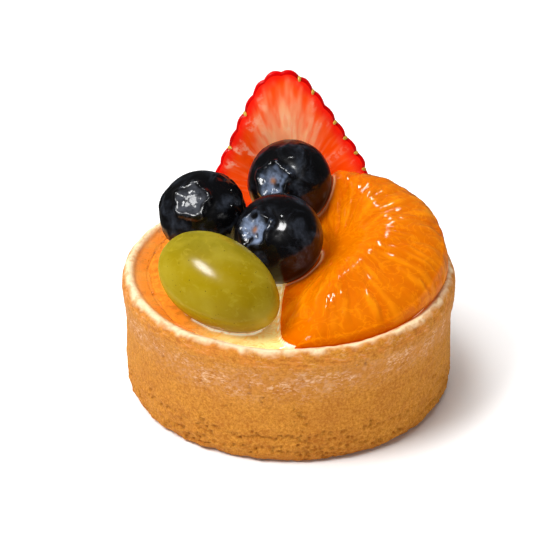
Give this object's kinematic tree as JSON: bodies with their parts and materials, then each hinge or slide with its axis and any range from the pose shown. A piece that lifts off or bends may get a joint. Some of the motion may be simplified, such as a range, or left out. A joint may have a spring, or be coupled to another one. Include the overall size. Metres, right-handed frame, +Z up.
{
  "type": "fruit tart",
  "caption": "Small round fruit tart: a straight-sided pastry case filled with custard and topped with a grape, dark berries, a mandarin segment and a strawberry slice.",
  "frame": {"origin": "centre of the flat base of the pastry case", "axes": "+Z up, out of the filling; -Y to the front, where the grape and the mandarin segment lie; +Y to the back, where the strawberry slice stands; +X to the mandarin segment"},
  "size_m": [0.0621, 0.0619, 0.0496],
  "materials": {
    "pastry": "baked, sandy and matt",
    "custard": "glazed",
    "grape": "glazed, translucent",
    "berry_skin": "glazed over a thin bloom",
    "mandarin": "glazed, translucent",
    "strawberry": "wet cut face"
  },
  "bodies": {
    "root": {"crust": "pastry", "custard": "custard", "grape": "grape", "berry_front": "berry_skin", "berry_left": "berry_skin", "berry_back": "berry_skin", "mandarin": "mandarin", "strawberry": "strawberry"}
  },
  "joints": []
}
